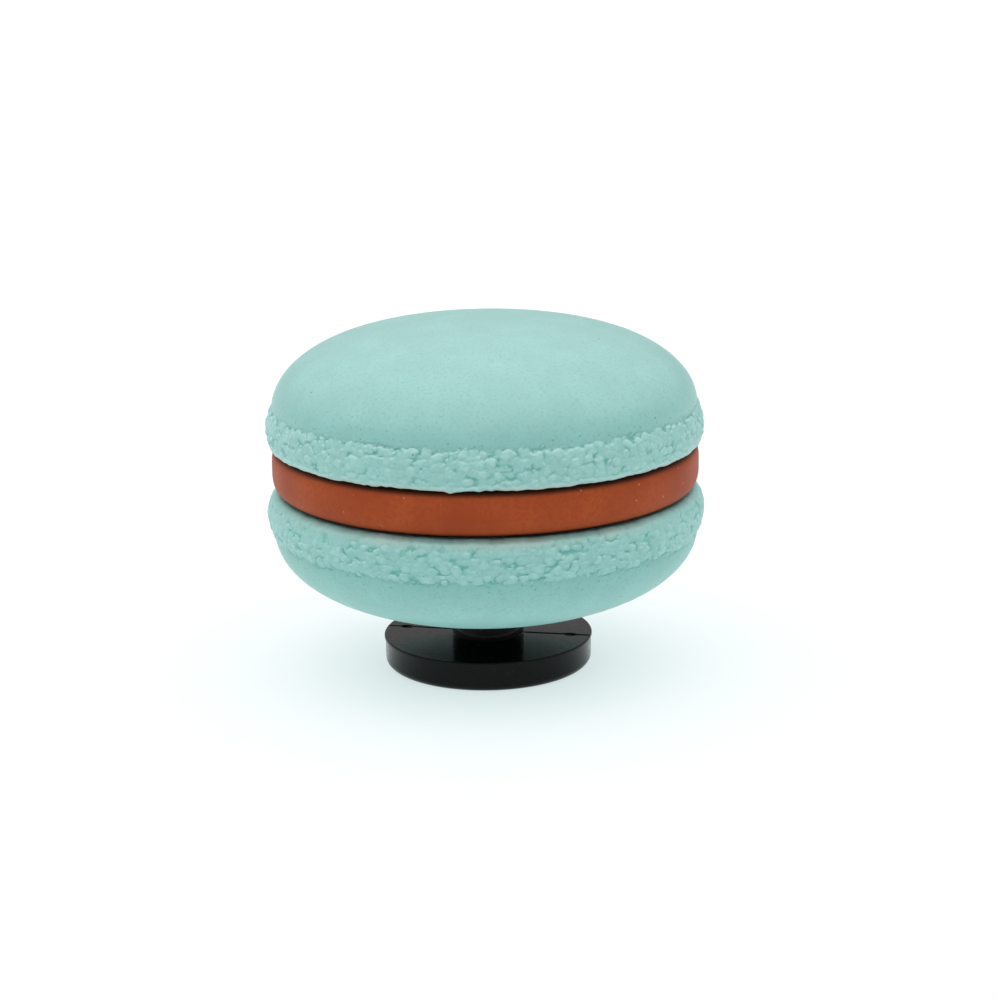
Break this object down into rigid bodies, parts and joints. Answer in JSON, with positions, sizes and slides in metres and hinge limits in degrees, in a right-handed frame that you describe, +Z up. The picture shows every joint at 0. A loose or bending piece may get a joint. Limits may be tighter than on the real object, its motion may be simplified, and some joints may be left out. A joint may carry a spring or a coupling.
{
  "type": "macaron shoe charm",
  "caption": "Charm in the shape of a macaron: domed shells with pebbled feet and a filling disc, on a button and post that push into a shoe hole.",
  "frame": {"origin": "centre of the button's flat underside, which the charm stands on", "axes": "+Z up along the axis of the post and shells; the part is round, so X and Y are free"},
  "size_m": [0.0246, 0.0248, 0.0199],
  "materials": {
    "shell": "matte soft PVC in pale mint, with a fine speckled grain",
    "filling": "smooth matte soft PVC in milk-chocolate brown",
    "plug": "glossy black moulded plastic"
  },
  "bodies": {
    "root": {"shell_top": "shell", "filling": "filling", "shell_bottom": "shell", "plug": "plug"}
  },
  "joints": []
}
